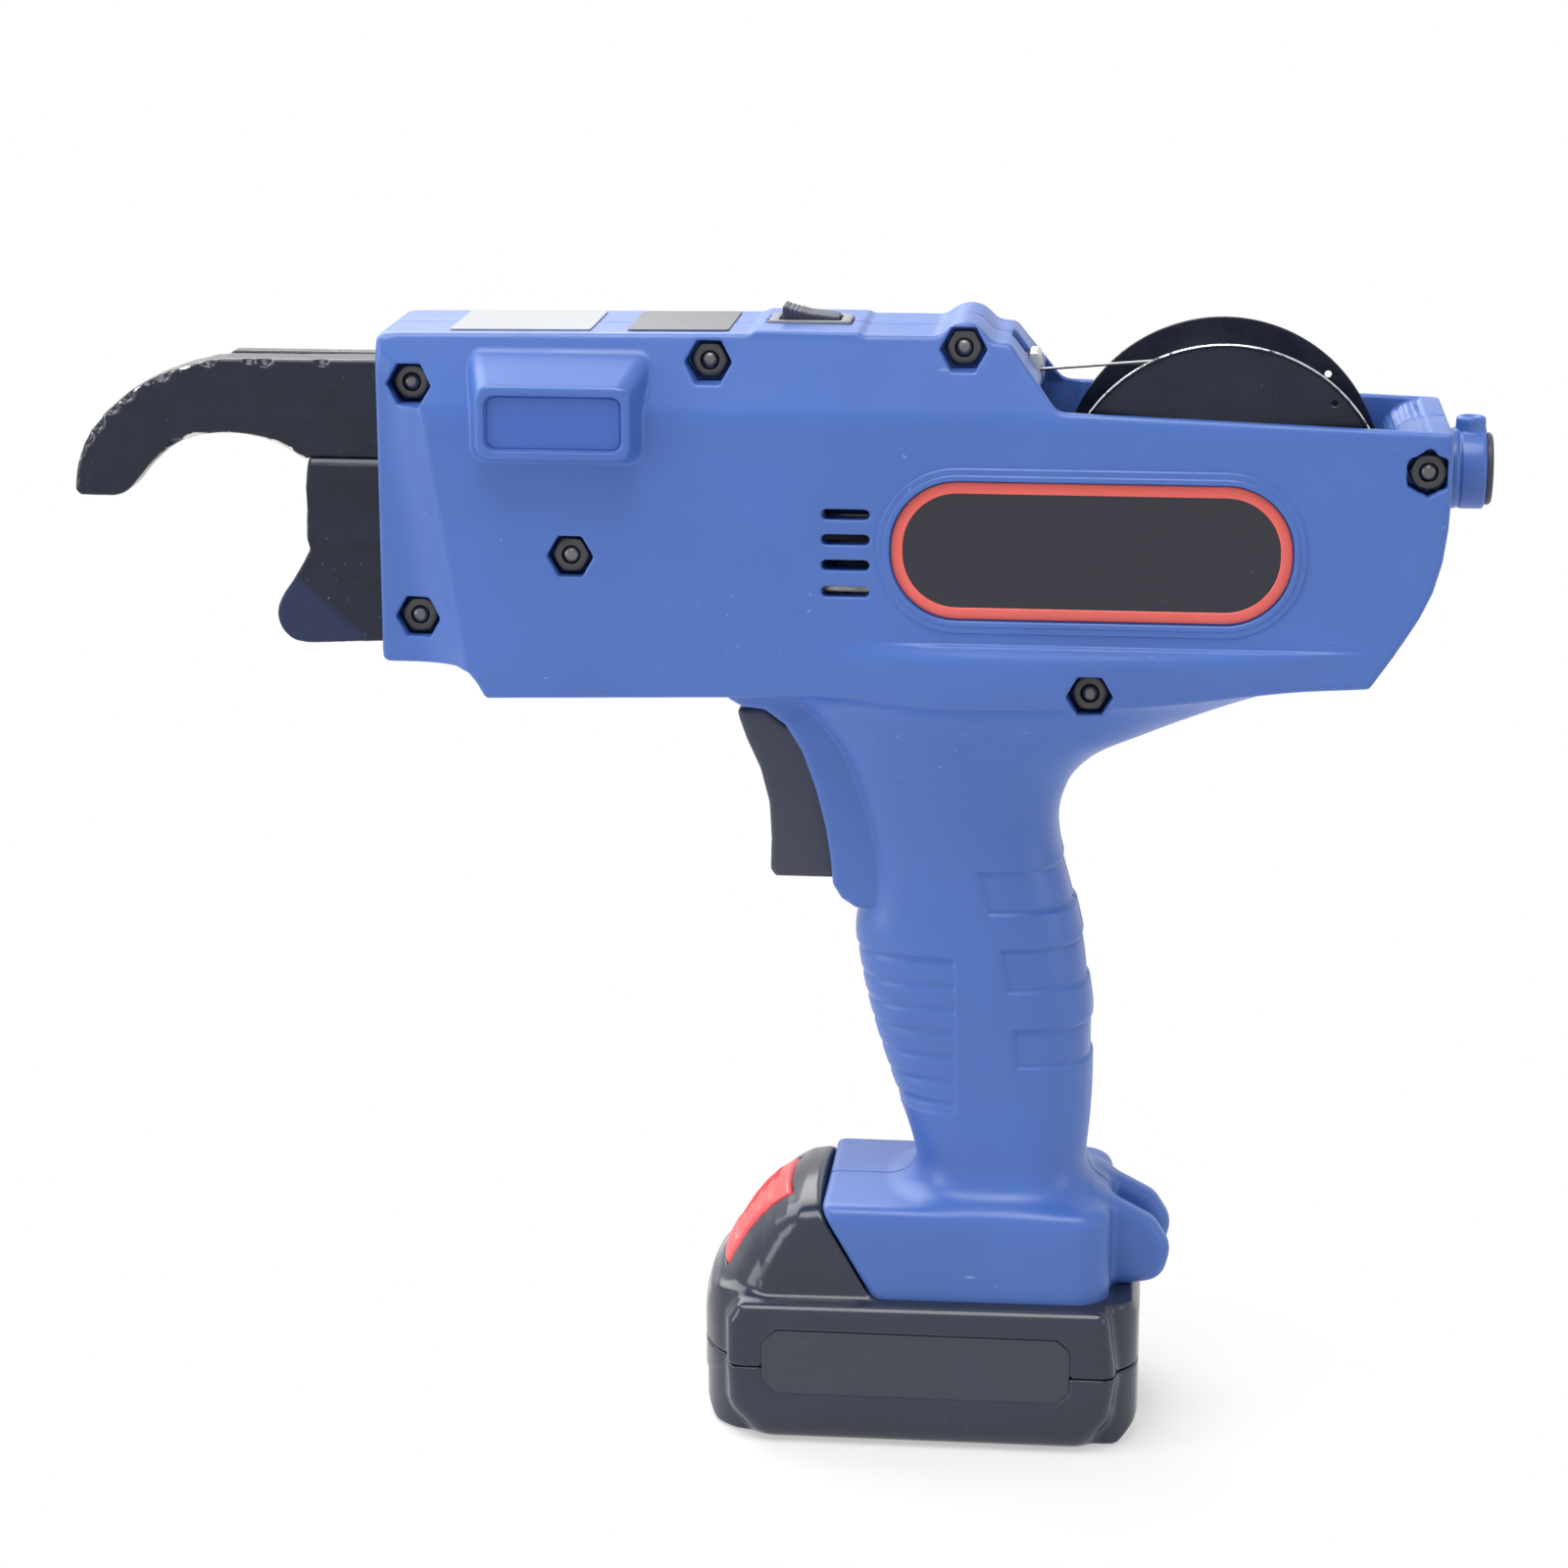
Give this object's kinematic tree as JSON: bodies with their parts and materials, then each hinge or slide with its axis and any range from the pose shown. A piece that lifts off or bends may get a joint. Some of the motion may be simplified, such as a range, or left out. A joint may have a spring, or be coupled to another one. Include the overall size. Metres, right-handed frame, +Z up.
{
  "type": "rebar tying tool",
  "caption": "Pistol-grip power tool with a wire reel and a hooked jaw that loops tie wire round crossed bars and twists it tight, standing on a slide-on battery.",
  "frame": {"origin": "middle of the bounding box at the battery's foot", "axes": "+X from the hook to the torque dial, +Y from the nut side to the screw side, +Z up"},
  "size_m": [0.33, 0.067, 0.2706],
  "materials": {
    "body_blue": "satin moulded",
    "black_plastic": "satin moulded",
    "battery_black": "polished",
    "black_metal": "worn black paint",
    "steel": "machined",
    "dark_steel": "black oxide",
    "brass": "machined",
    "motor_steel": "plated",
    "wire_steel": "drawn",
    "red_plastic": "satin",
    "plate_black": "printed film",
    "plate_silver": "printed film",
    "board_green": "solder mask",
    "cell_wrap": "shrink sleeve",
    "lead_rubber": "matte",
    "zinc": "die cast"
  },
  "bodies": {
    "housing": {"left_housing": "body_blue", "right_housing": "body_blue", "housing_bolts": "dark_steel", "housing_nuts": "dark_steel", "name_plates": "plate_black", "top_plates": "plate_silver", "switch_frame": "black_plastic", "hook": "black_metal", "hook_plate": "black_metal", "lower_jaw": "black_metal", "gear_frame": "zinc", "shaft_bearings": "steel", "twist_motor": "motor_steel", "feed_motor": "motor_steel", "gear_bush": "brass", "roller_bracket": "zinc", "wire_inlet": "steel", "wire_tube": "black_plastic", "tie_wire": "wire_steel", "control_board": "board_green", "trigger_switch": "black_plastic", "leads": "lead_rubber", "terminal_block": "black_plastic", "reel_spindle": "steel", "dial_pot": "black_plastic", "cutter_pin": "steel", "trigger_spring": "steel"},
    "trigger_body": {"trigger": "black_plastic"},
    "rocker": {"power_rocker": "black_plastic"},
    "reel_body": {"reel": "black_plastic", "winding_core": "wire_steel", "winding_wire": "wire_steel"},
    "twist": {"twist_shaft": "steel", "twist_gear": "brass"},
    "twist_pinion": {"motor_pinion": "brass"},
    "gripper_l": {"gripper_left": "dark_steel"},
    "gripper_r": {"gripper_right": "dark_steel"},
    "feed_pinion_body": {"feed_pinion": "brass"},
    "transfer": {"transfer_gear": "brass"},
    "drive": {"drive_roller": "steel"},
    "pressure": {"pressure_roller": "steel"},
    "cutter": {"cutter_blade": "dark_steel"},
    "dial": {"torque_dial": "body_blue", "dial_cap": "black_plastic"},
    "battery": {"battery_top": "battery_black", "battery_bottom": "battery_black", "battery_cells": "cell_wrap", "battery_board": "board_green", "battery_contacts": "brass", "battery_screws": "steel", "button_spring": "steel"},
    "button": {"release_button": "red_plastic"}
  },
  "joints": [
    {"name": "trigger_pull", "type": "slide", "parent": "housing", "child": "trigger_body", "axis": [1, 0, 0], "range_m": [0, 0.006], "stiffness_N_per_m": 600, "springref_m": -0.004, "deforming": ["trigger_spring"]},
    {"name": "power_rock", "type": "hinge", "parent": "housing", "child": "rocker", "pos_m": [0.00886, 0, 0.268], "axis": [0, 1, 0], "range_deg": [-20, 0]},
    {"name": "reel_spin", "type": "hinge", "parent": "housing", "child": "reel_body", "pos_m": [0.1039, 0, 0.2285], "axis": [0, 1, 0], "continuous": true},
    {"name": "twist_spin", "type": "hinge", "parent": "housing", "child": "twist", "pos_m": [0, 0, 0.224], "axis": [1, 0, 0], "continuous": true},
    {"name": "twist_pinion_spin", "type": "hinge", "parent": "housing", "child": "twist_pinion", "pos_m": [0, 0, 0.204], "axis": [1, 0, 0], "continuous": true},
    {"name": "gripper_left_close", "type": "hinge", "parent": "twist", "child": "gripper_l", "pos_m": [-0.091, -0.0034, 0.224], "axis": [0, 0, -1], "range_deg": [0, 8], "stiffness_Nm_per_rad": 0.02, "springref_deg": -5.73},
    {"name": "gripper_right_close", "type": "hinge", "parent": "twist", "child": "gripper_r", "pos_m": [-0.091, 0.0034, 0.224], "axis": [0, 0, 1], "range_deg": [0, 8], "stiffness_Nm_per_rad": 0.02, "springref_deg": -5.73},
    {"name": "feed_spin", "type": "hinge", "parent": "housing", "child": "transfer", "pos_m": [-0.0441, 0, 0.2155], "axis": [0, 1, 0], "continuous": true},
    {"name": "feed_pinion_spin", "type": "hinge", "parent": "housing", "child": "feed_pinion_body", "pos_m": [-0.04015, 0, 0.19692], "axis": [0, 1, 0], "continuous": true},
    {"name": "drive_roller_spin", "type": "hinge", "parent": "housing", "child": "drive", "pos_m": [-0.0441, 0, 0.24], "axis": [0, 1, 0], "continuous": true},
    {"name": "pressure_roller_spin", "type": "hinge", "parent": "housing", "child": "pressure", "pos_m": [-0.0441, 0, 0.254], "axis": [0, 1, 0], "continuous": true},
    {"name": "cutter_swing", "type": "hinge", "parent": "housing", "child": "cutter", "pos_m": [-0.07883, 0.009, 0.244], "axis": [0, 1, 0], "range_deg": [0, 10], "stiffness_Nm_per_rad": 0.05, "springref_deg": -5.73},
    {"name": "torque_turn", "type": "hinge", "parent": "housing", "child": "dial", "pos_m": [0.1545, 0, 0.23481], "axis": [1, 0, 0], "range_deg": [-140, 140]},
    {"name": "battery_slide", "type": "slide", "parent": "housing", "child": "battery", "axis": [-1, 0, 0], "range_m": [0, 0.095]},
    {"name": "release_press", "type": "slide", "parent": "battery", "child": "button", "axis": [0.8617, 0, -0.5074], "range_m": [0, 0.0025], "stiffness_N_per_m": 900, "springref_m": -0.002, "deforming": ["button_spring"]}
  ],
  "couplings": [
    {"joint": "twist_pinion_spin", "follows": "twist_spin", "ratio": -2.3333},
    {"joint": "gripper_right_close", "follows": "gripper_left_close", "ratio": 1},
    {"joint": "feed_pinion_spin", "follows": "feed_spin", "ratio": -2.1667},
    {"joint": "drive_roller_spin", "follows": "feed_spin", "ratio": -1.1304},
    {"joint": "pressure_roller_spin", "follows": "feed_spin", "ratio": 1.1304}
  ]
}
